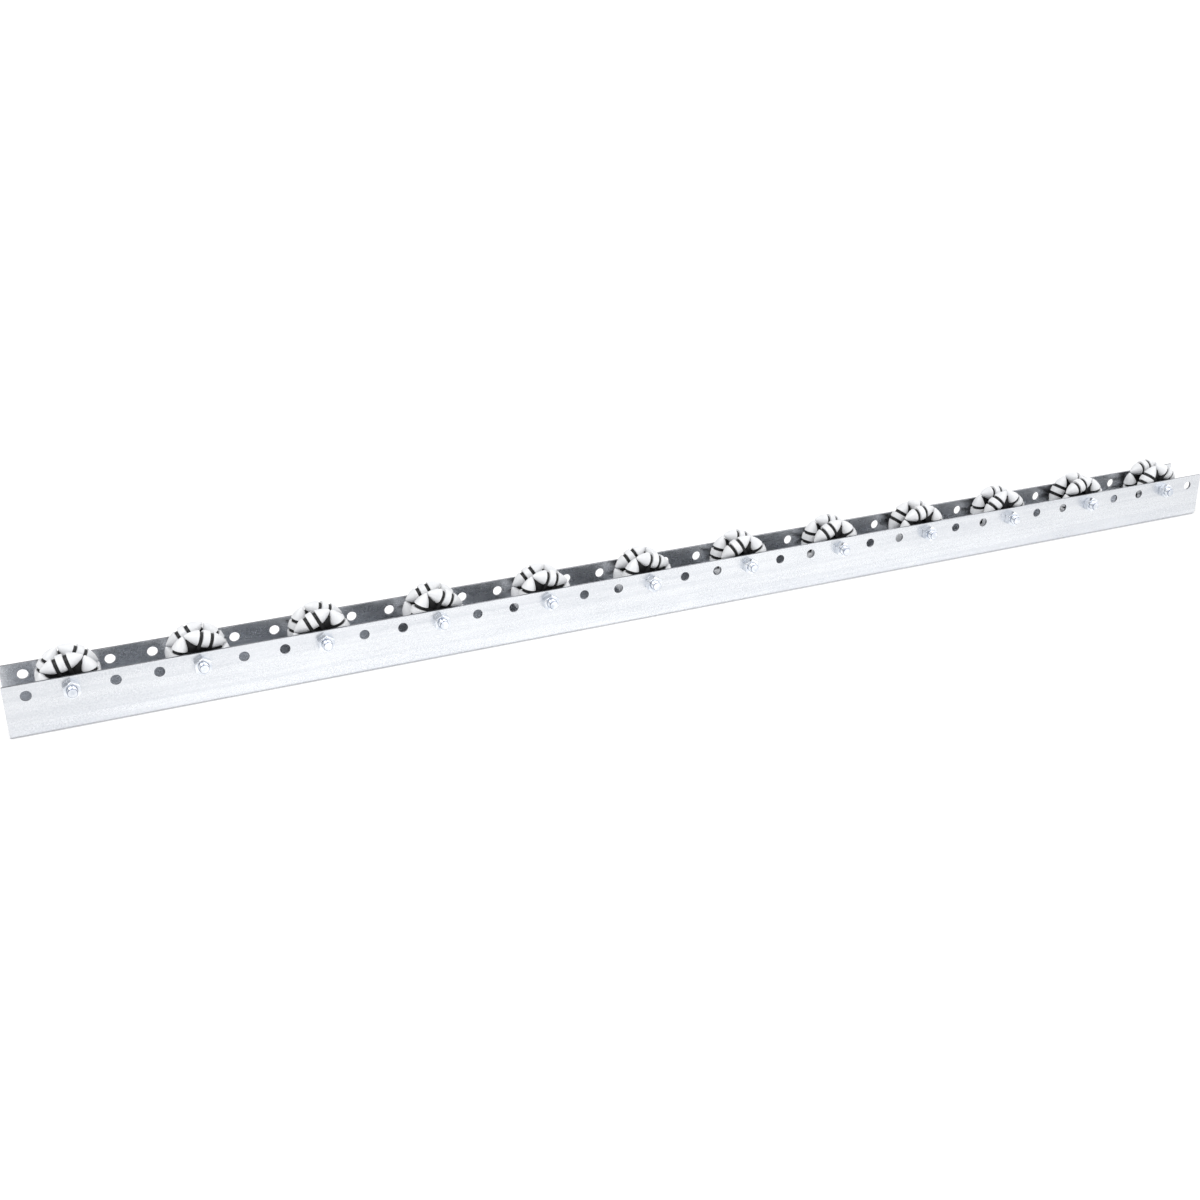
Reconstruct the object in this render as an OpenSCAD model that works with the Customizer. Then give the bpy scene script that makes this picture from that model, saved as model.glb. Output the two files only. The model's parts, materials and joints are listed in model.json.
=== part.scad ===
// Roller track for a flow rack: a punched steel channel with a row of omni wheels.
// Each wheel has two rows of barrels, turned half a step against each other, so that
// a load rolls along the track on the wheels and sideways on the barrels.
// The origin is on the underside, in the middle of the channel. X runs along the
// track, Y across it, Z up.

/* [Channel] */
// Distance from one wheel axle to the next
axle_pitch = 100; // [90:1:150]
// Outer width of the channel
channel_width = 44; // [44:0.5:60]
// Height of the channel's side walls
wall_height = 45; // [42:0.5:60]
// Thickness of the sheet
sheet = 2; // [1.5:0.1:3]
// Outer radius of the two folded edges
bend_radius = 4; // [3.5:0.1:6]
// Height of the punched holes above the underside
hole_height = 35; // [30:0.5:38]
// Diameter of the punched holes
hole_d = 8.5; // [8.3:0.1:10]

/* [Omni wheel] */
// Distance from the wheel's axis to the axes of its barrels
barrel_axis_radius = 17.8; // [17.4:0.1:18.2]
// Distance between the wheel's two rows of barrels
row_spacing = 19; // [18:0.1:21]
// Distance of the wheel's middle from the channel's middle, towards the front
wheel_offset = 2; // [0:0.1:2.5]
// Radius of the plates that fill the space between the barrels of a row
plate_radius = 20; // [18:0.1:21]
// Thickness of a plate on each side of its row's middle plane
plate_depth = 2; // [1.5:0.1:3]
// Length of the hub along its axis
hub_length = 32.4; // [31:0.1:33]
// Radius of the hub
hub_radius = 8.4; // [8:0.1:8.8]

/* [Barrels] */
// Radius of a barrel in its middle
barrel_radius = 7.2; // [6.8:0.1:7.6]
// Distance from a barrel's middle to each of the ribs that hold it
rib_distance = 4.3; // [3.8:0.1:5]
// Thickness of a rib
rib_thickness = 2.7; // [2:0.1:3.2]
// How far a rib's edge lies below the barrel's surface
rib_recess = 1.6; // [0.8:0.1:2.2]
// How far a rib's foot stands out of the plate
rib_relief = 2.5; // [1:0.1:3]
// Radius of the two journals that a barrel turns on
journal_radius = 2.2; // [1.8:0.1:2.8]
// Radius of the rounding at a barrel's tips
tip_rounding = 1.2; // [0.8:0.1:1.8]
// Gap between the tips of two neighbouring barrels
tip_gap = 0.35; // [0.3:0.05:0.8]

/* [Axles] */
// Diameter of the axle bolts
bolt_d = 8; // [7.8:0.1:8.1]
// Length of the axle bolts under the head
bolt_length = 55; // [54:1:70]
// Width across flats of the bolt heads and the nuts
hex_width = 13; // [12:0.5:14]
// Height of a bolt head
head_height = 5.3; // [4:0.1:6]
// Height of a nut
nut_height = 6.5; // [5:0.1:8]
// Outer diameter of the washers and the distance rings
ring_d = 16; // [15:0.1:18]
// Thickness of the washer in front of a wheel
washer_thickness = 1.6; // [1:0.1:2]
// Outer diameter of the tube that a wheel turns on
tube_d = 11; // [10.4:0.1:11.4]
// Bore of the tube, the washer and the distance ring
tube_bore = 8.4; // [8.2:0.1:8.8]

/* [Fits] */
// Radial play of a wheel on its tube
hub_play = 0.06; // [0.02:0.01:0.1]
// Radial play of a barrel's journals in the ribs
journal_play = 0.06; // [0.02:0.01:0.1]
// Play on each side of a rib in its groove, and on each side of a hub
side_play = 0.2; // [0.1:0.05:0.4]
// Free space between a barrel and the pocket it turns in
pocket_gap = 0.5; // [0.4:0.05:0.8]
// Radial play of a nut on its bolt
thread_play = 0.05; // [0.02:0.01:0.1]
// Seam between the pieces of a wheel's body
parting_gap = 0.1; // [0.05:0.05:0.3]

/* [Hidden] */
$fn = 72;
overcut = 1;
wheel_count = 12;
holes_per_axle = 3;
barrels_per_row = 4;
// Angle from +X of the upper front barrel of each wheel, as the wheels happen to stand
rest_angles = [103, 71, 114, 63, 73, 72, 119, 120, 102, 132, 110, 56];

hole_pitch = axle_pitch / holes_per_axle;
hole_count = wheel_count * holes_per_axle;
channel_length = hole_count * hole_pitch;
inner_width = channel_width - 2 * sheet;
front_inside = -inner_width / 2;

barrel_step = 360 / barrels_per_row;
wheel_radius = barrel_axis_radius + barrel_radius;
tip_radius = wheel_radius - tip_rounding;
// The crown runs on until the rounding's centre meets the barrel's own axis, unless the
// plane between two neighbouring barrels, less half the gap, comes first
pointed_angle = acos(barrel_axis_radius / tip_radius);
tip_reach = 2 * barrel_axis_radius * sin(barrel_step / 2) - tip_gap / 2 - tip_rounding;
meeting_angle = asin(min(1, tip_reach / tip_radius)) - barrel_step / 2;
tip_angle = min(pointed_angle, meeting_angle);
tip_height = tip_radius * sin(tip_angle);
tip_offset = tip_radius * cos(tip_angle) - barrel_axis_radius;
barrel_half = tip_height + tip_rounding;
crown_half = wheel_radius * sin(tip_angle);
groove_width = rib_thickness + 2 * side_play;
rib_radius = sqrt(wheel_radius ^ 2 - rib_distance ^ 2) - barrel_axis_radius - rib_recess;

row_middle = row_spacing / 2;
wheel_front = -wheel_offset - hub_length / 2;
wheel_back = -wheel_offset + hub_length / 2;
tube_front = front_inside + washer_thickness;
tube_back = wheel_back + side_play;

function node_name(i, piece) = str("wheel_", i < 10 ? "0" : "", i, "_", piece);
function axle_x(i) = (i - (wheel_count + 1) / 2) * axle_pitch;
function front_angle(i) = rest_angles[i - 1];
// The back row is turned by half a step, and its upper barrel is the one nearest the top
function back_angle(i) = front_angle(i) + (front_angle(i) > 90 ? -1 : 1) * barrel_step / 2;

// ---- Channel ----

module channel_corner(side) {
    translate([side * (channel_width / 2 - bend_radius), bend_radius])
        circle(bend_radius);
}

module channel_outline() {
    translate([-channel_width / 2, bend_radius])
        square([channel_width, wall_height - bend_radius]);
    translate([-channel_width / 2 + bend_radius, 0])
        square([channel_width - 2 * bend_radius, bend_radius]);
    for (side = [-1, 1])
        channel_corner(side);
}

module channel_hollow() {
    inner_radius = bend_radius - sheet;
    translate([-inner_width / 2, bend_radius])
        square([inner_width, wall_height]);
    translate([-inner_width / 2 + inner_radius, sheet])
        square([inner_width - 2 * inner_radius, bend_radius]);
    for (side = [-1, 1])
        translate([side * (inner_width / 2 - inner_radius), bend_radius])
            circle(inner_radius);
}

module channel() {
    color("silver")
    difference() {
        translate([-channel_length / 2, 0, 0])
            rotate([90, 0, 90])
                linear_extrude(channel_length)
                    difference() {
                        channel_outline();
                        channel_hollow();
                    }
        for (i = [0 : hole_count - 1])
            translate([(i - (hole_count - 1) / 2) * hole_pitch, 0, hole_height])
                rotate([90, 0, 0])
                    cylinder(d = hole_d, h = channel_width + 2 * overcut, center = true);
    }
}

// ---- Axles ----

// A piece on an axle, from y = from along +Y, at every axle
module on_every_axle(from) {
    for (i = [1 : wheel_count])
        translate([axle_x(i), from, hole_height])
            rotate([-90, 0, 0])
                children();
}

module ring(outer, inner, length) {
    difference() {
        cylinder(d = outer, h = length);
        translate([0, 0, -overcut])
            cylinder(d = inner, h = length + 2 * overcut);
    }
}

// A hexagon with its corners turned off at 30 degrees, at the bottom, the top or both
module hexagon(height, bottom, top) {
    corner = hex_width / cos(30);
    chamfer = (corner - hex_width * 0.95) / 2 * tan(30);
    intersection() {
        cylinder(d = corner, h = height, $fn = 6);
        union() {
            if (bottom)
                cylinder(d1 = hex_width * 0.95, d2 = corner, h = chamfer);
            translate([0, 0, bottom ? chamfer : 0])
                cylinder(d = corner, h = height - (bottom ? chamfer : 0) - (top ? chamfer : 0));
            if (top)
                translate([0, 0, height - chamfer])
                    cylinder(d1 = corner, d2 = hex_width * 0.95, h = chamfer);
        }
    }
}

module axle_bolts() {
    point = bolt_d / 8;
    color("gainsboro")
    on_every_axle(channel_width / 2 - bolt_length)
        union() {
            cylinder(d1 = bolt_d - 2 * point, d2 = bolt_d, h = point);
            translate([0, 0, point])
                cylinder(d = bolt_d, h = bolt_length - point);
            translate([0, 0, bolt_length])
                hexagon(head_height, false, true);
        }
}

module axle_nuts() {
    color("gainsboro")
    on_every_axle(-channel_width / 2 - nut_height)
        difference() {
            hexagon(nut_height, true, true);
            translate([0, 0, -overcut])
                cylinder(d = bolt_d + 2 * thread_play, h = nut_height + 2 * overcut);
        }
}

module washers() {
    color("lightgray")
    on_every_axle(front_inside)
        ring(ring_d, tube_bore, washer_thickness);
}

module axle_tubes() {
    color("lightgray")
    on_every_axle(tube_front)
        ring(tube_d, tube_bore, tube_back - tube_front);
}

module distance_rings() {
    color("lightgray")
    on_every_axle(tube_back)
        ring(ring_d, tube_bore, inner_width / 2 - tube_back);
}

// ---- Barrels ----

// A barrel stands upright here: its own axis is Z and its middle is at the origin

module barrel_outline() {
    difference() {
        intersection() {
            union() {
                intersection() {
                    translate([-barrel_axis_radius, 0])
                        circle(wheel_radius, $fn = 180);
                    translate([0, -crown_half])
                        square([wheel_radius, 2 * crown_half]);
                }
                translate([0, -tip_height])
                    square([tip_offset + tip_rounding, 2 * tip_height]);
                for (side = [-1, 1])
                    translate([tip_offset, side * tip_height])
                        circle(tip_rounding);
            }
            translate([0, -barrel_half])
                square([wheel_radius, 2 * barrel_half]);
        }
        for (side = [-1, 1])
            translate([journal_radius, side * rib_distance - groove_width / 2])
                square([wheel_radius, groove_width]);
    }
}

module barrel() {
    rotate_extrude()
        barrel_outline();
}

// Puts an upright barrel, or what belongs to it, at an angle on the wheel's front row
// (row = -1) or back row (row = 1)
module on_wheel(row, angle) {
    translate([0, row * row_middle, 0])
        rotate([0, -angle, 0])
            translate([barrel_axis_radius, 0, 0])
                children();
}

module at_wheel(i) {
    translate([axle_x(i), -wheel_offset, hole_height])
        children();
}

module front_top_barrel(i) {
    color("white")
    at_wheel(i)
        on_wheel(-1, front_angle(i))
            barrel();
}

module back_top_barrel(i) {
    color("white")
    at_wheel(i)
        on_wheel(1, back_angle(i))
            barrel();
}

module other_barrels(i) {
    color("white")
    at_wheel(i)
        for (k = [1 : barrels_per_row - 1]) {
            on_wheel(-1, front_angle(i) + k * barrel_step)
                barrel();
            on_wheel(1, back_angle(i) + k * barrel_step)
                barrel();
        }
}

// ---- Wheel body ----

// The space that a barrel turns in: straight cones drawn round its crown, with the gap
module pocket() {
    half = barrel_half + pocket_gap;
    // Each cone touches the crown's arc, so its corners lie a little further out
    corner_radius = (wheel_radius + pocket_gap) / cos(tip_angle / 4);
    end_angle = asin(half / corner_radius);
    points = [for (a = [-1 : 0.5 : 1])
        [corner_radius * cos(a * end_angle) - barrel_axis_radius, corner_radius * sin(a * end_angle)]];
    rotate_extrude()
        polygon(concat([[0, -half]], points, [[0, half]]));
}

// Half of a barrel's two ribs, on one side (-1 or 1) of the row's middle plane: an eye
// round each journal, on a web that runs down to the hub
module half_ribs(side) {
    reach = barrel_axis_radius - hub_radius + overcut;
    foot = plate_depth + rib_relief;
    for (end = [-1, 1])
        translate([0, 0, end * rib_distance - rib_thickness / 2])
            linear_extrude(rib_thickness)
                intersection() {
                    union() {
                        circle(rib_radius);
                        polygon([[0, rib_radius], [0, -rib_radius], [-reach, -foot], [-reach, foot]]);
                    }
                    translate([-wheel_radius, side * parting_gap / 2 - (side < 0 ? wheel_radius : 0)])
                        square([2 * wheel_radius, wheel_radius]);
                }
}

module journal_bores() {
    cylinder(r = journal_radius + journal_play, h = 2 * (rib_distance + rib_thickness), center = true);
}

// A round bar along the wheel's axis, from y = span[0] to y = span[1]
module bar(radius, span) {
    translate([0, span[0], 0])
        rotate([-90, 0, 0])
            cylinder(r = radius, h = span[1] - span[0]);
}

module on_row(i, row) {
    first = row < 0 ? front_angle(i) : back_angle(i);
    for (k = [0 : barrels_per_row - 1])
        on_wheel(row, first + k * barrel_step)
            children();
}

// One piece of the body. plates lists the spans of its plates along the axis and hub is the
// span of its hub; halves lists the row and the side of each set of ribs that it carries
module body_piece(i, plates, hub, halves) {
    difference() {
        union() {
            difference() {
                union() {
                    bar(hub_radius, hub);
                    for (span = plates)
                        bar(plate_radius, span);
                }
                for (h = halves)
                    on_row(i, h[0])
                        pocket();
            }
            for (h = halves)
                on_row(i, h[0])
                    half_ribs(h[1]);
        }
        for (h = halves)
            on_row(i, h[0])
                journal_bores();
        bar(tube_d / 2 + hub_play, [-hub_length, hub_length]);
    }
}

// The body is parted in the middle plane of each row, through the journal bores:
// a cover in front, a core between the rows and a cover behind
module body(i) {
    core_plate = [row_middle - plate_depth, row_middle - parting_gap / 2];
    cover_plate = [row_middle + parting_gap / 2, row_middle + plate_depth];
    core = core_plate[1];
    cover = cover_plate[0];
    color([0.09, 0.09, 0.1])
    at_wheel(i) {
        body_piece(i, [-[cover_plate[1], cover]], [-hub_length / 2, -cover], [[-1, -1]]);
        body_piece(i, [core_plate, -[core, core_plate[0]]], [-core, core], [[-1, 1], [1, -1]]);
        body_piece(i, [cover_plate], [cover, hub_length / 2], [[1, 1]]);
    }
}

channel();
axle_bolts();
axle_nuts();
washers();
axle_tubes();
distance_rings();
for (i = [1 : wheel_count]) {
    body(i);
    front_top_barrel(i);
    back_top_barrel(i);
    other_barrels(i);
}
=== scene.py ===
"""Dresses a flow rack roller track: a punched steel channel with a row of omni wheels.

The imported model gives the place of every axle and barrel. This script models the sheet
channel, the threaded bolts, the nuts and the barrels in full detail, gives every surface
its finish and sets up the studio.
"""

from __future__ import annotations

import json
import logging
import math
from collections.abc import Callable, Sequence
from dataclasses import dataclass, field
from enum import Enum

import bpy
from mathutils import Matrix, Quaternion, Vector

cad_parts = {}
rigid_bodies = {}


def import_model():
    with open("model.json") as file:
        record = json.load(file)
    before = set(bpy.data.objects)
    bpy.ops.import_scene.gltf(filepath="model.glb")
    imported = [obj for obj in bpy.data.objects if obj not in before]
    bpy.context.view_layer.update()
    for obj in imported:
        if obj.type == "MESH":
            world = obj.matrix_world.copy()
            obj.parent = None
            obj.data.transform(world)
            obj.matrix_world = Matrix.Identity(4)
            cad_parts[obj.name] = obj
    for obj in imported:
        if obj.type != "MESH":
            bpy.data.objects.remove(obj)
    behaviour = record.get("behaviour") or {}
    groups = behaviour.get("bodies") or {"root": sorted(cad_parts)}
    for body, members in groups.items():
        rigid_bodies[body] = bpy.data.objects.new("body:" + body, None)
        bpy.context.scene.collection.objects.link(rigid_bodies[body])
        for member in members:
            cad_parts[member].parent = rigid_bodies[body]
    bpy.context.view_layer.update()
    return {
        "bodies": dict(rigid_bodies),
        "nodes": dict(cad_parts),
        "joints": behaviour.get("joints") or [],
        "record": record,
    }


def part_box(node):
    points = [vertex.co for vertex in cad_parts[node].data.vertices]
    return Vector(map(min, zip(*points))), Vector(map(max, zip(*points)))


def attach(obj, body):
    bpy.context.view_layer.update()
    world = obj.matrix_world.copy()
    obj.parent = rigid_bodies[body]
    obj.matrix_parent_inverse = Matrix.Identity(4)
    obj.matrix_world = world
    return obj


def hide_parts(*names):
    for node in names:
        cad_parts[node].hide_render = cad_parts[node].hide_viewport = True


LOG = logging.getLogger("roller_track")
MM = 0.001
# Two corners that are this close lie in the same place; those within MERGE become one
TINY = 0.00002
MERGE = TINY / 4
# Faces that meet at less than this many degrees are shaded as one surface
SMOOTH_ANGLE = 35
TRACK_BODY = "track"

Socket = bpy.types.NodeSocket
Colour = tuple[float, float, float]
# Repeats of a pattern per metre along X, Y and Z
Repeats = tuple[float, float, float]
# A least and a greatest value
Span = tuple[float, float]
# From this value to that, a strength goes from this to that
Ramp = tuple[float, float, float, float]
# A line's corners as (across, along) in metres
Line = list[tuple[float, float]]


class Slot(Enum):
    """The record's material slots."""

    SHEET = "galvanised_sheet"
    ZINC = "zinc_plated_steel"
    BLACK = "black_plastic"
    WHITE = "white_plastic"


class Row(Enum):
    """The two rows of barrels on a wheel, by the side of the wheel that they are on."""

    FRONT = -1
    BACK = 1


# ---------------------------------------------------------------- modelling helpers


def select_only(obj: bpy.types.Object) -> None:
    """Makes obj the one selected and active object.

    Args:
        obj: the object to work on.
    """
    bpy.ops.object.select_all(action="DESELECT")
    obj.select_set(True)
    bpy.context.view_layer.objects.active = obj


def select_where(obj: bpy.types.Object, kind: str, test: Callable[[Vector], bool]) -> None:
    """Selects the vertices, edges or faces of obj whose place passes a test. Ends in edit mode.

    Args:
        obj: the object, in any mode.
        kind: "VERT", "EDGE" or "FACE".
        test: given the middle of an element, or each end of an edge, says whether it is wanted.
    """
    enter_edit(obj)
    bpy.ops.mesh.select_mode(type=kind)
    bpy.ops.mesh.select_all(action="DESELECT")
    bpy.ops.object.mode_set(mode="OBJECT")
    mesh = obj.data
    if kind == "VERT":
        for vertex in mesh.vertices:
            vertex.select = test(vertex.co)
    elif kind == "EDGE":
        for edge in mesh.edges:
            edge.select = all(test(mesh.vertices[v].co) for v in edge.vertices)
    else:
        for face in mesh.polygons:
            face.select = test(face.center)
    bpy.ops.object.mode_set(mode="EDIT")


def enter_edit(obj: bpy.types.Object) -> None:
    """Goes to edit mode with obj alone."""
    select_only(obj)
    bpy.ops.object.mode_set(mode="EDIT")


def leave_edit(obj: bpy.types.Object, outward: bool = True) -> None:
    """Merges doubled vertices, turns the faces outwards and goes back to object mode.

    Args:
        obj: the object in edit mode.
        outward: whether the faces are to be turned outwards.
    """
    bpy.ops.mesh.select_all(action="SELECT")
    bpy.ops.mesh.remove_doubles(threshold=MERGE)
    if outward:
        bpy.ops.mesh.normals_make_consistent(inside=False)
    bpy.ops.object.mode_set(mode="OBJECT")
    obj.data.update()


def apply_modifier(obj: bpy.types.Object, kind: str, **settings: object) -> None:
    """Adds a modifier, sets it and applies it.

    Args:
        obj: the object.
        kind: the modifier's type.
        settings: its properties by name.
    """
    select_only(obj)
    modifier = obj.modifiers.new(kind.lower(), kind)
    for name, value in settings.items():
        setattr(modifier, name, value)
    bpy.ops.object.modifier_apply(modifier=modifier.name)


def shade_smooth(obj: bpy.types.Object) -> None:
    """Shades a piece smooth, apart from its sharp edges."""
    select_only(obj)
    bpy.ops.object.shade_smooth_by_angle(angle=math.radians(SMOOTH_ANGLE))


def soften_edges(obj: bpy.types.Object, width: float, angle: float, segments: int = 2) -> None:
    """Rounds the sharp edges of a piece, shades the rest smooth and keeps its large faces flat.

    Args:
        obj: the object.
        width: how far the rounding reaches from the edge.
        angle: edges sharper than this, in degrees, are rounded.
        segments: the number of steps across the rounding.
    """
    apply_modifier(
        obj,
        "BEVEL",
        width=width,
        segments=segments,
        limit_method="ANGLE",
        angle_limit=math.radians(angle),
        use_clamp_overlap=True,
        harden_normals=False,
    )
    shade_smooth(obj)
    apply_modifier(obj, "WEIGHTED_NORMAL", mode="FACE_AREA", keep_sharp=True)


def draw_line(name: str, points: Line) -> bpy.types.Object:
    """Draws an open line in the XZ plane by extruding a single vertex from point to point.

    Args:
        name: the new object's name.
        points: (x, z) of each point.

    Returns:
        The object, in edit mode with all of the line selected.
    """
    bpy.ops.object.select_all(action="DESELECT")
    bpy.ops.mesh.primitive_plane_add(size=MM)
    obj = bpy.context.object
    obj.name = obj.data.name = name
    bpy.ops.object.mode_set(mode="EDIT")
    bpy.ops.mesh.select_mode(type="VERT")
    bpy.ops.mesh.select_all(action="SELECT")
    bpy.ops.mesh.merge(type="CENTER")
    x, z = points[0]
    bpy.ops.transform.translate(value=(x, 0, z))
    for (x0, z0), (x1, z1) in zip(points, points[1:]):
        bpy.ops.mesh.extrude_region_move(TRANSFORM_OT_translate={"value": (x1 - x0, 0, z1 - z0)})
    bpy.ops.mesh.select_all(action="SELECT")
    return obj


def revolve(name: str, points: Line, steps: int) -> bpy.types.Object:
    """Turns a line round the Z axis into a closed solid.

    Args:
        name: the new object's name.
        points: (radius, z) of each point. The line starts and ends on the axis.
        steps: the number of faces round the solid.

    Returns:
        The finished object, in object mode.
    """
    obj = draw_line(name, points)
    bpy.ops.mesh.spin(steps=steps, angle=math.tau, center=(0, 0, 0), axis=(0, 0, 1))
    leave_edit(obj)
    return obj


def arc(centre: tuple[float, float], radius: float, start: float, end: float, steps: int) -> Line:
    """Points on an arc.

    Args:
        centre: the arc's centre.
        radius: its radius.
        start: the angle of its first point, in degrees.
        end: the angle of its last point, in degrees.
        steps: the number of stretches.

    Returns:
        The points, both ends included.
    """
    angles = [math.radians(start + (end - start) * k / steps) for k in range(steps + 1)]
    return [(centre[0] + radius * math.cos(a), centre[1] + radius * math.sin(a)) for a in angles]


def placed_copy(master: bpy.types.Object, name: str, place: Matrix) -> bpy.types.Object:
    """Copies a piece with a mesh of its own and puts its place into that mesh.

    Args:
        master: the piece as it was modelled, at the origin.
        name: the copy's name.
        place: where the copy goes.

    Returns:
        The copy, whose object stays at the origin.
    """
    mesh = master.data.copy()
    mesh.name = name
    mesh.transform(place)
    copy = bpy.data.objects.new(name, mesh)
    bpy.context.scene.collection.objects.link(copy)
    return copy


def discard(obj: bpy.types.Object) -> None:
    """Removes a master piece once its copies are made."""
    bpy.data.objects.remove(obj, do_unlink=True)


# ---------------------------------------------------------------- finishes


class NodeGraph:
    """A node tree that is filled by code, with the few operations that every tree here needs."""

    def __init__(self, tree: bpy.types.NodeTree) -> None:
        """Empties the tree.

        Args:
            tree: the tree of a material or of the world.
        """
        self.tree = tree
        self.tree.nodes.clear()

    def add(self, kind: str, **settings: object) -> bpy.types.Node:
        """Adds a node and sets its properties.

        Args:
            kind: the node's type.
            settings: its properties by name.

        Returns:
            The node.
        """
        node = self.tree.nodes.new(kind)
        for name, value in settings.items():
            setattr(node, name, value)
        return node

    def link(self, source: Socket, target: Socket) -> None:
        """Links one socket to another."""
        self.tree.links.new(source, target)

    def remap(self, value: Socket, *ramp: float, smooth: bool = False) -> Socket:
        """Maps a value from one range to another and keeps it within the second.

        Args:
            value: the value.
            ramp: the two ends of the first range and the two ends of the second.
            smooth: whether the change starts and ends gently.

        Returns:
            The mapped value.
        """
        node = self.add("ShaderNodeMapRange", clamp=True)
        node.interpolation_type = "SMOOTHSTEP" if smooth else "LINEAR"
        for name, number in zip(("From Min", "From Max", "To Min", "To Max"), ramp, strict=True):
            node.inputs[name].default_value = number
        self.link(value, node.inputs["Value"])
        return node.outputs["Result"]

    def combine(self, operation: str, first: Socket, second: Socket | float) -> Socket:
        """Adds, multiplies or otherwise combines two values.

        Args:
            operation: the name of the operation.
            first: the first value.
            second: the second value, or a fixed number.

        Returns:
            The result.
        """
        node = self.add("ShaderNodeMath", operation=operation)
        self.link(first, node.inputs[0])
        if isinstance(second, float):
            node.inputs[1].default_value = second
        else:
            self.link(second, node.inputs[1])
        return node.outputs["Value"]


class ShaderGraph(NodeGraph):
    """A Principled material, laid out from the object's own coordinates."""

    # A mix node has sockets of one name for numbers, vectors and colours; these are the colours
    COLOUR_INPUTS = (6, 7)
    COLOUR_OUTPUT = 2

    def __init__(self, name: str) -> None:
        """Starts a material with a plain surface.

        Args:
            name: the material's name.
        """
        self.material = bpy.data.materials.new(name)
        self.material.use_nodes = True
        super().__init__(self.material.node_tree)
        self.surface = self.add("ShaderNodeBsdfPrincipled")
        output = self.add("ShaderNodeOutputMaterial")
        self.link(self.surface.outputs["BSDF"], output.inputs["Surface"])
        self.place = self.add("ShaderNodeTexCoord").outputs["Object"]

    def stretched(self, scale: Repeats) -> Socket:
        """Scales the object's coordinates by one factor along each axis.

        Args:
            scale: the factors along X, Y and Z.

        Returns:
            The scaled coordinates.
        """
        node = self.add("ShaderNodeMapping")
        node.inputs["Scale"].default_value = scale
        self.link(self.place, node.inputs["Vector"])
        return node.outputs["Vector"]

    def noise(self, scale: Repeats, detail: float = 3.0, distortion: float = 0.0) -> Socket:
        """Soft noise.

        Args:
            scale: how many times per metre it repeats along X, Y and Z.
            detail: the number of finer layers.
            distortion: how far the pattern is pulled about.

        Returns:
            The noise's strength, around 0.5.
        """
        node = self.add("ShaderNodeTexNoise")
        node.inputs["Scale"].default_value = 1.0
        node.inputs["Detail"].default_value = detail
        node.inputs["Distortion"].default_value = distortion
        self.link(self.stretched(scale), node.inputs["Vector"])
        return node.outputs["Fac"]

    def crystals(self, scale: Repeats) -> Socket:
        """Gives one random grey per cell, as in the flower pattern of a zinc coat.

        Args:
            scale: the number of cells per metre along X, Y and Z.

        Returns:
            The grey, from 0 to 1.
        """
        node = self.add("ShaderNodeTexVoronoi")
        node.inputs["Scale"].default_value = 1.0
        node.inputs["Randomness"].default_value = 1.0
        self.link(self.stretched(scale), node.inputs["Vector"])
        split = self.add("ShaderNodeSeparateColor")
        self.link(node.outputs["Color"], split.inputs["Color"])
        return split.outputs["Red"]

    def blend(self, factor: Socket, first: Colour, second: Colour) -> Socket:
        """Mixes two colours.

        Args:
            factor: 0 for the first colour, 1 for the second.
            first: the first colour.
            second: the second colour.

        Returns:
            The mixed colour.
        """
        node = self.add("ShaderNodeMix", data_type="RGBA")
        self.link(factor, node.inputs["Factor"])
        node.inputs[self.COLOUR_INPUTS[0]].default_value = (*first, 1)
        node.inputs[self.COLOUR_INPUTS[1]].default_value = (*second, 1)
        return node.outputs[self.COLOUR_OUTPUT]

    def colour(self, pattern: Socket, ends: Span, first: Colour, second: Colour) -> None:
        """Colours the surface by a pattern.

        Args:
            pattern: the pattern.
            ends: up to the first value it has the first colour, from the second one on the other.
            first: the first colour.
            second: the second colour.
        """
        share = self.remap(pattern, *ends, 0, 1)
        self.link(self.blend(share, first, second), self.surface.inputs["Base Color"])

    def rough(self, pattern: Socket, ends: Span, roughness: Span) -> None:
        """Makes the surface smoother and rougher by a pattern.

        Args:
            pattern: the pattern.
            ends: the values between which the roughness rises.
            roughness: the least and the most.
        """
        self.link(self.remap(pattern, *ends, *roughness), self.surface.inputs["Roughness"])

    def raise_surface(self, height: Socket, distance: float) -> None:
        """Raises the surface by a pattern, on top of what already raises it.

        Args:
            height: the pattern, from 0 to 1.
            distance: the height of the pattern, in metres.
        """
        node = self.add("ShaderNodeBump")
        node.inputs["Distance"].default_value = distance
        node.inputs["Strength"].default_value = 1.0
        self.link(height, node.inputs["Height"])
        normal = self.surface.inputs["Normal"]
        if normal.is_linked:
            self.link(normal.links[0].from_socket, node.inputs["Normal"])
        self.link(node.outputs["Normal"], normal)

    def set(self, **values: float | Sequence[float]) -> None:
        """Sets sockets of the surface; a name's underscores stand for spaces."""
        for name, value in values.items():
            self.surface.inputs[name.replace("_", " ")].default_value = value


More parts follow.
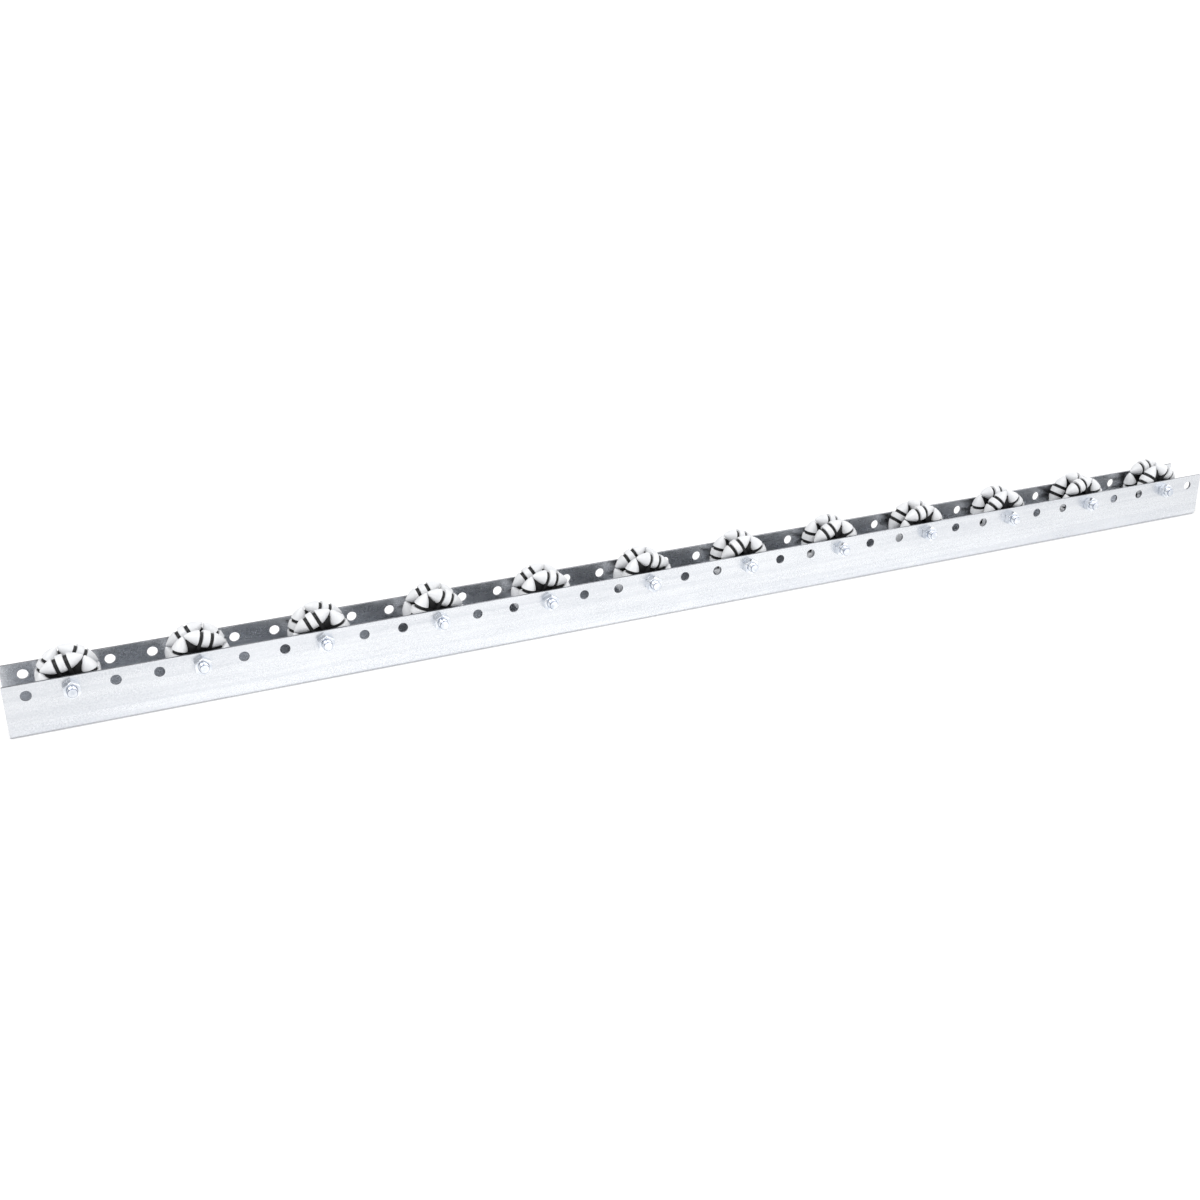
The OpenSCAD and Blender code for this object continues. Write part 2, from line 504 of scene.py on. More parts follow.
@dataclass(frozen=True)
class GalvanisedSheet:
    """Bright hot-dipped sheet: fine spangle, rolling streaks along X, satin sheen."""

    bright: Colour = (0.76, 0.775, 0.80)
    dull: Colour = (0.53, 0.55, 0.59)
    roughness: Span = (0.24, 0.42)
    flower_scale: Repeats = (496.0, 620.0, 620.0)
    speck_scale: Repeats = (700, 820, 820)
    streak_scale: Repeats = (4, 260, 260)
    cloud_scale: Repeats = (16, 48, 48)
    # From where to where each pattern rises from bright to dull, and its share in the dullness
    speck_ramp: Ramp = (0.42, 0.72, 0, 1)
    cloud_ramp: Ramp = (0.36, 0.62, 0.15, 1)
    streak_ramp: Ramp = (0.4, 0.75, 0, 1)
    flower_share: float = 0.14
    speck_share: float = 0.62
    streak_share: float = 0.34
    relief: float = 0.012 * MM

    def material(self) -> bpy.types.Material:
        """Builds the material.

        Returns:
            The material.
        """
        g = ShaderGraph("galvanised_sheet")
        flowers = g.crystals(self.flower_scale)
        specks = g.noise(self.speck_scale, detail=6, distortion=0.2)
        streaks = g.noise(self.streak_scale, detail=5)
        clouds = g.noise(self.cloud_scale, detail=3, distortion=0.5)
        patchy = g.remap(specks, *self.speck_ramp)
        patchy = g.combine("MULTIPLY", patchy, g.remap(clouds, *self.cloud_ramp))
        worn = g.combine(
            "ADD",
            g.combine("MULTIPLY", flowers, self.flower_share),
            g.combine("MULTIPLY", patchy, self.speck_share),
        )
        lines = g.combine("MULTIPLY", g.remap(streaks, *self.streak_ramp), self.streak_share)
        worn = g.combine("ADD", worn, lines)
        g.link(g.blend(worn, self.bright, self.dull), g.surface.inputs["Base Color"])
        g.rough(worn, (0.0, 1.0), self.roughness)
        g.raise_surface(specks, self.relief)
        g.raise_surface(streaks, self.relief)
        g.set(Metallic=1.0)
        return g.material


@dataclass(frozen=True)
class CutEdge:
    """Sheared ends and punched holes of the sheet: bare steel, duller and darker than the coat."""

    bright: Colour = (0.33, 0.34, 0.365)
    dull: Colour = (0.13, 0.135, 0.15)
    roughness: Span = (0.34, 0.55)
    tear_scale: Repeats = (520, 1500, 1500)
    relief: float = 0.02 * MM

    def material(self) -> bpy.types.Material:
        """Builds the material.

        Returns:
            The material.
        """
        g = ShaderGraph("cut_edge")
        tears = g.noise(self.tear_scale, detail=4)
        g.colour(tears, (0.35, 0.7), self.bright, self.dull)
        g.rough(tears, (0.3, 0.7), self.roughness)
        g.raise_surface(tears, self.relief)
        g.set(Metallic=1.0)
        return g.material


@dataclass(frozen=True)
class ZincPlate:
    """Electroplated zinc on turned and forged fasteners: bright faces, faint scratches."""

    name: str = "zinc_plate"
    bright: Colour = (0.86, 0.88, 0.91)
    dull: Colour = (0.56, 0.60, 0.67)
    roughness: Span = (0.12, 0.30)
    patch_scale: Repeats = (170, 170, 170)
    scratch_scale: Repeats = (900, 2600, 900)
    relief: float = 0.004 * MM

    def material(self) -> bpy.types.Material:
        """Builds the material.

        Returns:
            The material.
        """
        g = ShaderGraph(self.name)
        patches = g.noise(self.patch_scale, detail=4)
        scratches = g.noise(self.scratch_scale, detail=3)
        g.colour(patches, (0.35, 0.7), self.bright, self.dull)
        g.rough(scratches, (0.3, 0.75), self.roughness)
        g.raise_surface(scratches, self.relief)
        g.set(Metallic=1.0)
        return g.material


@dataclass(frozen=True)
class BlackMoulding:
    """Black moulded nylon with a fine sparked grain."""

    dark: Colour = (0.008, 0.008, 0.009)
    scuffed: Colour = (0.028, 0.029, 0.031)
    roughness: Span = (0.36, 0.58)
    sheen: float = 0.32
    scuff_scale: Repeats = (130, 130, 130)
    grain_scale: Repeats = (2600, 2600, 2600)
    relief: float = 0.012 * MM

    def material(self) -> bpy.types.Material:
        """Builds the material.

        Returns:
            The material.
        """
        g = ShaderGraph("black_moulding")
        scuffs = g.noise(self.scuff_scale, detail=5, distortion=0.4)
        grain = g.noise(self.grain_scale, detail=2)
        g.colour(scuffs, (0.42, 0.78), self.dark, self.scuffed)
        g.rough(scuffs, (0.3, 0.7), self.roughness)
        g.raise_surface(grain, self.relief)
        g.set(Specular_IOR_Level=self.sheen)
        return g.material


@dataclass(frozen=True)
class WhiteMoulding:
    """White moulded barrels: smooth, slightly waxy, with faint flow marks."""

    clean: Colour = (0.88, 0.89, 0.91)
    rubbed: Colour = (0.82, 0.83, 0.85)
    roughness: Span = (0.30, 0.44)
    flow_scale: Repeats = (150, 150, 150)
    grain_scale: Repeats = (1800, 1800, 1800)
    relief: float = 0.004 * MM
    glow_share: float = 0.08
    glow_depth: float = 2 * MM

    def material(self) -> bpy.types.Material:
        """Builds the material.

        Returns:
            The material.
        """
        g = ShaderGraph("white_moulding")
        flow = g.noise(self.flow_scale, detail=4, distortion=0.8)
        grain = g.noise(self.grain_scale, detail=2)
        g.colour(flow, (0.45, 0.8), self.clean, self.rubbed)
        g.rough(flow, (0.3, 0.7), self.roughness)
        g.raise_surface(grain, self.relief)
        g.set(Subsurface_Weight=self.glow_share, Subsurface_Scale=self.glow_depth)
        g.set(Subsurface_Radius=(1, 1, 1))
        return g.material


class Paintbox:
    """One finish for each of the record's slots, one for cut edges, and a dark blue painted shade
    for bolt points.
    """

    def __init__(self) -> None:
        """Builds the six finishes."""
        self.materials = {
            Slot.SHEET: GalvanisedSheet().material(),
            Slot.ZINC: ZincPlate().material(),
            Slot.BLACK: BlackMoulding().material(),
            Slot.WHITE: WhiteMoulding().material(),
        }
        self.cut = CutEdge().material()
        # Painted shade: a dark blue for the bolts' points, where the thread's shadow and dark
        # reflections fall
        point = ZincPlate(
            name="zinc_point",
            bright=(0.17, 0.20, 0.31),
            dull=(0.07, 0.085, 0.15),
            roughness=(0.2, 0.4),
        )
        self.point = point.material()

    def dress(self, obj: bpy.types.Object, slot: Slot) -> None:
        """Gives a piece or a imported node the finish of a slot.

        Args:
            obj: the piece.
            slot: its material slot.
        """
        obj.data.materials.clear()
        obj.data.materials.append(self.materials[slot])


# ---------------------------------------------------------------- the track's pieces


@dataclass
class Channel:
    """The folded and punched sheet channel."""

    paint: Paintbox
    length: float
    width: float
    height: float
    hole_height: float
    hole_count: int = 36
    sheet: float = 2 * MM
    bend_radius: float = 4 * MM
    hole_radius: float = 4.25 * MM
    edge: float = 0.22 * MM
    # Only edges that turn by more degrees than this are rounded
    sharp: float = 55
    # The hole and the border of its tile have the same number of corners
    columns: int = 10
    lines: int = 14
    bend_steps: int = 6

    @property
    def pitch(self) -> float:
        """Distance between two holes."""
        return self.length / self.hole_count

    def wall_tile(self) -> bpy.types.Object:
        """Makes the first tile of the front wall: a rectangle of sheet with one round hole.

        Returns:
            The tile, in object mode.
        """
        left = -self.length / 2
        front = -self.width / 2
        upright = (math.pi / 2, 0, 0)
        centre = Vector((left + self.pitch / 2, front, (self.bend_radius + self.height) / 2))
        bpy.ops.object.select_all(action="DESELECT")
        bpy.ops.mesh.primitive_grid_add(
            x_subdivisions=self.columns,
            y_subdivisions=self.lines,
            size=1,
            location=centre,
            rotation=upright,
        )
        tile = bpy.context.object
        tile.name = tile.data.name = "track_channel"
        tile.scale = (self.pitch, self.height - self.bend_radius, 1)
        bpy.ops.object.transform_apply(location=True, rotation=True, scale=True)
        inner = (self.pitch / 2 - TINY, (self.height - self.bend_radius) / 2 - TINY)

        def inside(place: Vector) -> bool:
            """Whether a corner lies within the tile's border."""
            return abs(place.x - centre.x) < inner[0] and abs(place.z - centre.z) < inner[1]

        select_where(tile, "VERT", inside)
        bpy.ops.mesh.delete(type="VERT")
        bpy.ops.mesh.primitive_circle_add(
            vertices=2 * (self.columns + self.lines),
            radius=self.hole_radius,
            location=(centre.x, front, self.hole_height),
            rotation=upright,
        )
        bpy.ops.mesh.select_all(action="SELECT")
        bpy.ops.mesh.bridge_edge_loops()
        bpy.ops.object.mode_set(mode="OBJECT")
        return tile

    def fold_tile(self, tile: bpy.types.Object) -> None:
        """Folds the wall tile's lower edge round the bend and carries it to the middle of the web.

        Args:
            tile: the wall tile.
        """
        select_where(tile, "EDGE", lambda place: place.z < self.bend_radius + TINY)
        bend = (0, -self.width / 2 + self.bend_radius, self.bend_radius)
        bpy.ops.mesh.spin(steps=self.bend_steps, angle=math.pi / 2, center=bend, axis=(-1, 0, 0))
        reach = self.width / 2 - self.bend_radius
        bpy.ops.mesh.extrude_region_move(TRANSFORM_OT_translate={"value": (0, reach, 0)})
        leave_edit(tile, outward=False)

    def build(self) -> bpy.types.Object:
        """Models the channel.

        Returns:
            The channel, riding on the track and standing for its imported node.
        """
        piece = self.wall_tile()
        self.fold_tile(piece)
        apply_modifier(
            piece,
            "MIRROR",
            use_axis=(False, True, False),
            use_mirror_merge=True,
            merge_threshold=TINY,
        )
        apply_modifier(
            piece,
            "ARRAY",
            count=self.hole_count,
            use_relative_offset=False,
            use_constant_offset=True,
            constant_offset_displace=(self.pitch, 0, 0),
            use_merge_vertices=True,
            merge_threshold=TINY,
        )
        enter_edit(piece)
        leave_edit(piece)
        self.paint.dress(piece, Slot.SHEET)
        piece.data.materials.append(self.paint.cut)
        foremost = min(piece.data.polygons, key=lambda face: face.center.y)
        inward = 1 if foremost.normal.y > 0 else -1
        apply_modifier(
            piece,
            "SOLIDIFY",
            thickness=self.sheet,
            offset=inward,
            use_even_offset=True,
            material_offset_rim=1,
        )
        enter_edit(piece)
        leave_edit(piece)
        soften_edges(piece, self.edge, self.sharp)
        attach(piece, TRACK_BODY)
        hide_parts("channel")
        LOG.info("channel: %d faces", len(piece.data.polygons))
        return piece


@dataclass
class Fasteners:
    """The bolt of each axle with its thread, and the nut on its front end."""

    paint: Paintbox
    axles: list[Vector]
    wall_front: float
    wall_back: float
    bolt_radius: float = 4 * MM
    bolt_length: float = 55 * MM
    thread_pitch: float = 1.25 * MM
    thread_depth: float = 0.55 * MM
    thread_length: float = 22 * MM
    point: float = 0.55 * MM
    hex_width: float = 13 * MM
    head_height: float = 5.3 * MM
    nut_height: float = 6.5 * MM
    edge: float = 0.12 * MM
    # Edges that turn by more degrees than this are rounded: on the shank, and on nuts and heads
    sharp_shank: float = 25
    sharp_hexagon: float = 20
    # The hexagons' corners are turned off at this slope, in degrees, from a circle with this share
    # of their width as its radius
    corner_slope: float = 30
    end_share: float = 0.475
    # How much wider than the bolt the nut's countersink is, and how far the drill reaches past it
    sink_room: float = 0.4 * MM
    drill_over: float = 1 * MM
    # Half the ridge's width at its root and at its crest, and its run-out, as shares of the pitch
    root_share: float = 0.46
    crest_share: float = 0.08
    run_out_share: float = 0.8
    # How deep the ridge is sunk into the core, and the height of the point's cone as a share of
    # its width
    ridge_sunk: float = 0.2 * MM
    cone_share: float = 0.9
    thread_steps: int = 40
    shank_steps: int = 48
    bore_steps: int = 64
    corner_steps: int = 96

    def hexagon(self, name: str, height: float, both_ends: bool) -> bpy.types.Object:
        """Makes a hexagon standing on the XY plane, its corners turned off at an angle.

        Args:
            name: the new object's name.
            height: its height.
            both_ends: whether the bottom's corners are turned off too.

        Returns:
            The hexagon.
        """
        corner = self.hex_width / math.sqrt(3)
        flat = self.hex_width * self.end_share
        drop = (corner - flat) * math.tan(math.radians(self.corner_slope))
        outline = [(0, 0), (flat, 0), (corner, drop)] if both_ends else [(0, 0), (corner, 0)]
        outline += [(corner, height - drop), (flat, height), (0, height)]
        turned = revolve(name + "_turned", outline, self.corner_steps)
        bpy.ops.object.select_all(action="DESELECT")
        bpy.ops.mesh.primitive_cylinder_add(
            vertices=6,
            radius=corner - TINY,
            depth=height + 2 * self.drill_over,
            location=(0, 0, height / 2),
        )
        piece = bpy.context.object
        piece.name = piece.data.name = name
        bpy.ops.object.transform_apply(location=True, rotation=True, scale=True)
        apply_modifier(piece, "BOOLEAN", operation="INTERSECT", object=turned, solver="EXACT")
        discard(turned)
        return piece

    def nut(self) -> bpy.types.Object:
        """Makes a nut with a countersunk bore, standing on the XY plane.

        Returns:
            The nut.
        """
        piece = self.hexagon("axle_nut", self.nut_height, both_ends=True)
        bore = self.bolt_radius - self.thread_depth / 2
        sink = self.bolt_radius + self.sink_room
        over = self.drill_over
        outline = [(0, -over), (sink + over, -over), (bore, sink - bore)]
        outline += [(bore, self.nut_height - sink + bore)]
        outline += [(sink + over, self.nut_height + over), (0, self.nut_height + over)]
        drill = revolve("axle_nut_drill", outline, self.bore_steps)
        apply_modifier(piece, "BOOLEAN", operation="DIFFERENCE", object=drill, solver="EXACT")
        discard(drill)
        soften_edges(piece, self.edge, self.sharp_hexagon)
        self.paint.dress(piece, Slot.ZINC)
        return piece

    def thread(self) -> bpy.types.Object:
        """Makes the thread's ridge: a three-cornered section wound round the Z axis from z = 0 up.

        Returns:
            The ridge, closed at both ends.
        """
        root = self.bolt_radius - self.thread_depth
        crest = self.bolt_radius
        sunk = root - self.ridge_sunk
        half = self.thread_pitch * self.root_share
        flat = self.thread_pitch * self.crest_share
        section = [(sunk, -half), (root, -half), (crest, -flat)]
        section += [(crest, flat), (root, half), (sunk, half)]
        obj = draw_line("axle_thread", section + section[:1])
        leave_edit(obj, outward=False)
        turns = int(self.thread_length / self.thread_pitch) - 1
        apply_modifier(
            obj,
            "SCREW",
            axis="Z",
            angle=math.tau,
            screw_offset=self.thread_pitch,
            iterations=turns,
            steps=self.thread_steps,
            render_steps=self.thread_steps,
            use_merge_vertices=False,
        )
        self.fade_thread(obj, turns * self.thread_pitch, sunk)
        enter_edit(obj)
        bpy.ops.mesh.select_all(action="SELECT")
        bpy.ops.mesh.remove_doubles(threshold=MERGE)
        bpy.ops.mesh.select_mode(type="EDGE")
        bpy.ops.mesh.select_all(action="DESELECT")
        bpy.ops.mesh.select_non_manifold()
        bpy.ops.mesh.edge_face_add()
        leave_edit(obj)
        return obj

    def fade_thread(self, obj: bpy.types.Object, length: float, sunk: float) -> None:
        """Lets both ends of the ridge run out into the core.

        Args:
            obj: the wound ridge.
            length: the ridge's length along the axis.
            sunk: the radius of the ridge's inner edge.
        """
        run_out = self.thread_pitch * self.run_out_share
        for vertex in obj.data.vertices:
            radius = math.hypot(vertex.co.x, vertex.co.y)
            reach = min(vertex.co.z, length - vertex.co.z) + self.thread_pitch / 2
            share = max(0.0, min(1.0, reach / run_out))
            wanted = sunk + (radius - sunk) * share
            vertex.co.x *= wanted / radius
            vertex.co.y *= wanted / radius

    def bolt(self) -> bpy.types.Object:
        """Makes a bolt along Z: its point at z = 0, its head on top.

        Returns:
            The bolt, whose point and first turn of thread have a dark blue painted shade.
        """
        root = self.bolt_radius - self.thread_depth
        end, cone = self.bolt_radius - self.point, self.cone_share * self.point
        crest = end + cone
        shank = self.thread_length
        outline = [(0, 0), (end, 0), (crest, cone), (root, cone + crest - root), (root, shank)]
        outline += [(self.bolt_radius, shank + self.thread_depth)]
        outline += [(self.bolt_radius, self.bolt_length), (0, self.bolt_length)]
        piece = revolve("axle_bolt", outline, self.shank_steps)
        soften_edges(piece, self.edge, self.sharp_shank)
        head = self.hexagon("axle_bolt_head", self.head_height, both_ends=False)
        head.data.transform(Matrix.Translation((0, 0, self.bolt_length)))
        soften_edges(head, self.edge, self.sharp_hexagon)
        ridge = self.thread()
        ridge.data.transform(Matrix.Translation((0, 0, cone + self.thread_pitch)))
        shade_smooth(ridge)
        select_only(piece)
        head.select_set(True)
        ridge.select_set(True)
        bpy.ops.object.join()
        self.paint.dress(piece, Slot.ZINC)
        piece.data.materials.append(self.paint.point)
        # The point's faces and the first turn of thread get the painted shade
        for face in piece.data.polygons:
            outer = math.hypot(face.center.x, face.center.y) > root / 2
            in_painted_shade = self.edge < face.center.z < cone + self.thread_pitch / 2
            face.material_index = int(in_painted_shade and outer)
        return piece

    def build(self) -> None:
        """Models one bolt and one nut and puts a copy of each on every axle."""
        along = Matrix.Rotation(-math.pi / 2, 4, "X")
        kinds = [
            ("bolt", self.bolt(), "axle_bolts", self.wall_back - self.bolt_length),
            ("nut", self.nut(), "axle_nuts", self.wall_front - self.nut_height),
        ]
        for label, master, node, start in kinds:
            for number, axle in enumerate(self.axles, 1):
                place = Matrix.Translation((axle.x, start, axle.z)) @ along
                piece = placed_copy(master, f"axle_{label}_{number:02d}", place)
                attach(piece, TRACK_BODY)
                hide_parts(node)
            faces = len(master.data.polygons)
            LOG.info("%ss: %d copies of %d faces", label, len(self.axles), faces)
            discard(master)


@dataclass
class OmniWheel:
    """One omni wheel: a black body that stays as packed, and eight white barrels."""

    paint: Paintbox
    number: int
    centre: Vector
    front_angle: float
    back_angle: float
    row_middle: float
    barrels_per_row: int = 4

    @property
    def name(self) -> str:
        """The wheel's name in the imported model."""
        return f"wheel_{self.number:02d}"

    def place(self, row: Row, angle: float, distance: float) -> Matrix:
        """Where a barrel stands on the wheel.

        Args:
            row: the barrel's row.
            angle: its angle from +X towards +Z, in degrees.
            distance: from the wheel's axis to the barrel's.

        Returns:
            The matrix that puts an upright barrel there.
        """
        across = Vector((0, row.value * self.row_middle, 0))
        turn = Matrix.Rotation(-math.radians(angle), 4, "Y")
        out = Matrix.Translation((distance, 0, 0))
        return Matrix.Translation(self.centre + across) @ turn @ out

    def build(self, barrel: bpy.types.Object, distance: float) -> None:
        """Puts the barrels in and dresses them.

        Args:
            barrel: the barrel as it was modelled, upright at the origin.
            distance: from the wheel's axis to its barrels' axes.
        """
        step = 360 / self.barrels_per_row
        for row, first in ((Row.FRONT, self.front_angle), (Row.BACK, self.back_angle)):
            side = row.name.lower()
            for k in range(self.barrels_per_row):
                place = self.place(row, first + k * step, distance)
                piece = placed_copy(barrel, f"{self.name}_{side}_roller_{k + 1}", place)
                self.paint.dress(piece, Slot.WHITE)
                top = f"{self.name}_{side}_top_barrel"
                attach(piece, top if k == 0 else self.name)
                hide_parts(top if k == 0 else f"{self.name}_other_barrels")
        LOG.info("%s: %d barrels", self.name, 2 * self.barrels_per_row)


@dataclass
class Barrel:
    """A white barrel with two grooves for the ribs that hold it."""

    wheel_radius: float = 25 * MM
    axis_radius: float = 17.8 * MM
    rib_distance: float = 4.3 * MM
    groove_width: float = 3.1 * MM
    journal_radius: float = 2.2 * MM
    tip_rounding: float = 1.2 * MM
    edge: float = 0.25 * MM
    # Edges that turn by more degrees than this are rounded
    sharp: float = 40
    steps: int = 56
    # Stretches of half the outline: up to the groove, from there to the tip, and round the tip
    middle_steps: int = 4
    flank_steps: int = 14
    tip_steps: int = 6

    def outline(self) -> Line:
        """Draws half of the barrel's outline, from its middle to its tip.

        Returns:
            Its corners as (radius, height).
        """
        tip_radius = self.wheel_radius - self.tip_rounding
        tip_angle = math.degrees(math.acos(self.axis_radius / tip_radius))
        tip_height = tip_radius * math.sin(math.radians(tip_angle))
        crown = (-self.axis_radius, 0)

        def height_angle(height: float) -> float:
            """The angle at which the crown reaches a height, in degrees."""
            return math.degrees(math.asin(height / self.wheel_radius))

        low = self.rib_distance - self.groove_width / 2
        high = self.rib_distance + self.groove_width / 2
        points = arc(crown, self.wheel_radius, 0, height_angle(low), self.middle_steps)
        points += [(self.journal_radius, low), (self.journal_radius, high)]
        points += arc(crown, self.wheel_radius, height_angle(high), tip_angle, self.flank_steps)
        points += arc((0, tip_height), self.tip_rounding, tip_angle, 90, self.tip_steps)[1:]
        return points

    def build(self) -> bpy.types.Object:
        """Models the barrel.

        Returns:
            The barrel, upright at the origin.
        """
        half = self.outline()
        whole = [(radius, -height) for radius, height in reversed(half)] + half[1:]
        whole[0] = (0, whole[0][1])
        whole[-1] = (0, whole[-1][1])
        piece = revolve("roller", whole, self.steps)
        soften_edges(piece, self.edge, self.sharp)
        LOG.info("barrel: %d faces", len(piece.data.polygons))
        return piece


# ---------------------------------------------------------------- studio


@dataclass(frozen=True)
class Lamp:
    """A soft square lamp that points at the middle of the track."""

    name: str
    place: tuple[float, float, float]
    size: float
    watts: float

    def hang(self) -> None:
        """Hangs the lamp in the studio."""
        light = bpy.data.lights.new(self.name, "AREA")
        light.shape = "SQUARE"
        light.size = self.size
        light.energy = self.watts
        lamp = bpy.data.objects.new(self.name, light)
        lamp.location = self.place
        lamp.rotation_euler = (-Vector(self.place)).to_track_quat("-Z", "Y").to_euler()
        bpy.context.scene.collection.objects.link(lamp)


@dataclass
class Studio:
    """A pale floor, soft lamps and the camera."""

    eye: Vector = field(default_factory=lambda: Vector((-0.5659, -1.0969, 0.5227)))
    heading: float = 23.358
    tilt: float = -22.937
    roll: float = -0.850
    focal_length: float = 42.66
    sensor: float = 36.0
    clip: Span = (0.01, 100)
    lamps: tuple[Lamp, ...] = (
        Lamp("key", (-1.4, -1.2, 2.4), 1.6, 34),
        Lamp("fill", (1.6, -1.2, 1.8), 2.0, 15),
    )
    # Strength of the room's light on the track, and of the white behind it
    ambient: float = 0.80
    backdrop: float = 1.4
    floor_size: float = 400.0
    floor_colour: Colour = (0.80, 0.80, 0.80)
    # The floor's glow by the distance from the track's middle: seen directly, and in shiny surfaces
    floor_glow: Ramp = (0.1, 1.6, 0.32, 0.62)
    near_glow: Ramp = (0.04, 0.20, 0.48, 0.40)
    # Painted shadow under the track, and painted shade towards its left and right end, in the same
    # glow
    shade: Ramp = (0.016, 0.026, 0, 1)
    left_end: Ramp = (-0.67, -0.35, 0.65, 1.0)
    right_end: Ramp = (0.1, 0.75, 1.0, 0.65)
    # The room in shiny surfaces by direction: towards the right, the left and overhead
    room: Ramp = (0.0, 0.45, 0.6, 2.0)
    left_box: Ramp = (-0.64, -0.50, 1.1, 0.0)
    overhead: Ramp = (0.39, 0.50, 0.0, 1.25)

    def floor(self) -> None:
        """Lays a white floor that keeps the track's shadow.

        To a shiny surface the floor is bright in front of the track, with painted shadow under it
        and at its ends.
        """
        bpy.ops.object.select_all(action="DESELECT")
        bpy.ops.mesh.primitive_plane_add(size=self.floor_size, location=(0, 0, 0))
        floor = bpy.context.object
        floor.name = floor.data.name = "floor"
        material = bpy.data.materials.new("floor_white")
        material.use_nodes = True
        g = NodeGraph(material.node_tree)
        axes = g.add("ShaderNodeSeparateXYZ")
        g.link(g.add("ShaderNodeTexCoord").outputs["Object"], axes.inputs["Vector"])
        away = g.combine("ABSOLUTE", axes.outputs["Y"], 0.0)
        # Painted shadow: in shiny surfaces the floor's glow goes out under the track
        shade = g.remap(away, *self.shade, smooth=True)
        bright = g.remap(away, *self.near_glow, smooth=True)
        # Painted shade: the glow in shiny surfaces dims towards the track's left and right end
        for end in (self.left_end, self.right_end):
            bright = g.combine("MULTIPLY", bright, g.remap(axes.outputs["X"], *end, smooth=True))
        path = g.add("ShaderNodeLightPath")
        mirrored = g.combine("MULTIPLY", shade, bright)
        mirrored = g.combine("MULTIPLY", mirrored, path.outputs["Is Glossy Ray"])
        direct = g.remap(away, *self.floor_glow, smooth=True)
        direct = g.combine("MULTIPLY", direct, path.outputs["Is Camera Ray"])
        glow = g.add("ShaderNodeEmission")
        g.link(g.combine("ADD", mirrored, direct), glow.inputs["Strength"])
        diffuse = g.add("ShaderNodeBsdfDiffuse")
        diffuse.inputs["Color"].default_value = (*self.floor_colour, 1)
        total = g.add("ShaderNodeAddShader")
        g.link(diffuse.outputs["BSDF"], total.inputs[0])
        g.link(glow.outputs["Emission"], total.inputs[1])
        g.link(total.outputs["Shader"], g.add("ShaderNodeOutputMaterial").inputs["Surface"])
        floor.data.materials.append(material)

    def world(self) -> None:
        """Fills the room with even light; a lens or a shiny surface sees it as white."""
        world = bpy.data.worlds.new("studio")
        bpy.context.scene.world = world
        world.use_nodes = True
        g = NodeGraph(world.node_tree)
        path = g.add("ShaderNodeLightPath")
        seen = g.combine("MAXIMUM", path.outputs["Is Camera Ray"], path.outputs["Is Glossy Ray"])
        seen = g.combine("MAXIMUM", seen, path.outputs["Is Transmission Ray"])
        # In shiny surfaces the room is bright on both sides and overhead, and dim low down between
        axes = g.add("ShaderNodeSeparateXYZ")
        g.link(g.add("ShaderNodeTexCoord").outputs["Generated"], axes.inputs["Vector"])
        side = g.remap(axes.outputs["X"], *self.room, smooth=True)
        side = g.combine("MAXIMUM", side, g.remap(axes.outputs["X"], *self.left_box, smooth=True))
        side = g.combine("MAXIMUM", side, g.remap(axes.outputs["Z"], *self.overhead, smooth=True))
        dimmed = g.combine("SUBTRACT", side, 1.0)
        dimmed = g.combine("MULTIPLY", dimmed, path.outputs["Is Glossy Ray"])
        background = g.add("ShaderNodeBackground")
        strength = g.combine("ADD", g.remap(seen, 0, 1, self.ambient, 1.0), dimmed)
        extra = g.combine("MULTIPLY", path.outputs["Is Camera Ray"], self.backdrop - 1)
        strength = g.combine("ADD", strength, extra)
        g.link(strength, background.inputs["Strength"])
        g.link(background.outputs["Background"], g.add("ShaderNodeOutputWorld").inputs["Surface"])

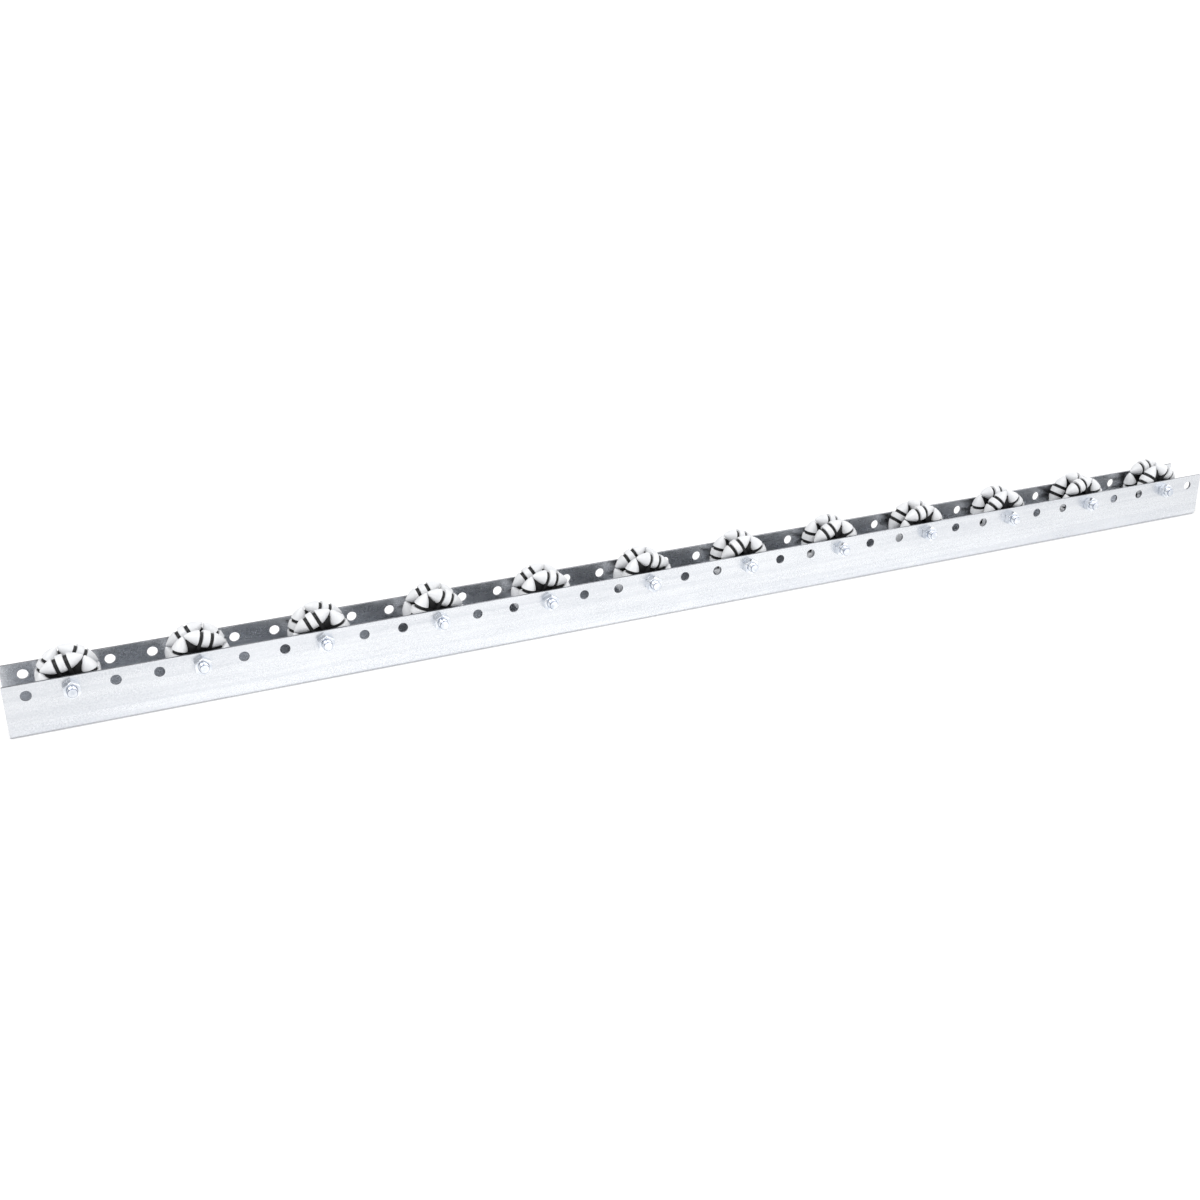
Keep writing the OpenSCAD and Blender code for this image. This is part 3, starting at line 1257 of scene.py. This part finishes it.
    def camera(self) -> None:
        """Sets up the camera."""
        data = bpy.data.cameras.new("camera")
        data.lens = self.focal_length
        data.sensor_width = self.sensor
        data.clip_start, data.clip_end = self.clip
        camera = bpy.data.objects.new("camera", data)
        heading = Quaternion((0, 0, 1), -math.radians(self.heading))
        tilt = Quaternion((1, 0, 0), math.radians(90 + self.tilt))
        roll = Quaternion((0, 0, 1), math.radians(self.roll))
        camera.rotation_mode = "QUATERNION"
        camera.rotation_quaternion = heading @ tilt @ roll
        camera.location = self.eye
        bpy.context.scene.collection.objects.link(camera)
        bpy.context.scene.camera = camera

    def build(self) -> None:
        """Sets up floor, light and camera."""
        bpy.context.scene.view_settings.view_transform = "Standard"
        self.camera()
        self.world()
        self.floor()
        for lamp in self.lamps:
            lamp.hang()


# ---------------------------------------------------------------- the whole track


class RollerTrack:
    """The whole track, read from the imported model."""

    def __init__(self, frame: dict) -> None:
        """Reads the places of the axles and barrels.
        """
        self.frame = frame
        self.joints = {joint["name"]: joint for joint in frame["joints"]}
        self.paint = Paintbox()
        names = sorted(n for n in self.joints if n.count("_") == 2 and n.endswith("_spin"))
        self.wheels = [name.removesuffix("_spin") for name in names]
        self.axles = [Vector(self.joints[name]["pos_m"]) for name in names]

    def barrel_angle(self, wheel: str, row: Row, centre: Vector) -> float:
        """The angle of a row's upper barrel, from +X towards +Z, in degrees."""
        place = Vector(self.joints[f"{wheel}_{row.name.lower()}_barrel_spin"]["pos_m"]) - centre
        return math.degrees(math.atan2(place.z, place.x))

    def build(self) -> None:
        """Builds every sub-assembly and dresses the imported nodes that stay."""
        low, high = (Vector(corner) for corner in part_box("channel"))
        size = high - low
        Channel(self.paint, size.x, size.y, size.z, self.axles[0].z).build()
        Fasteners(self.paint, self.axles, low.y, high.y).build()
        shape = Barrel()
        barrel = shape.build()
        for number, (wheel, centre) in enumerate(zip(self.wheels, self.axles), 1):
            front = self.joints[f"{wheel}_front_barrel_spin"]["pos_m"]
            OmniWheel(
                self.paint,
                number,
                centre,
                self.barrel_angle(wheel, Row.FRONT, centre),
                self.barrel_angle(wheel, Row.BACK, centre),
                centre.y - front[1],
            ).build(barrel, shape.axis_radius)
        discard(barrel)
        for entry in self.frame["record"]["subparts"]:
            self.paint.dress(self.frame["nodes"][entry["node"]], Slot(entry["material_slot"]))


def main() -> None:
    """Builds the scene."""
    logging.basicConfig(level=logging.INFO, format="%(message)s")
    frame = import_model()
    Studio().build()
    RollerTrack(frame).build()


if __name__ == "__main__":
    main()
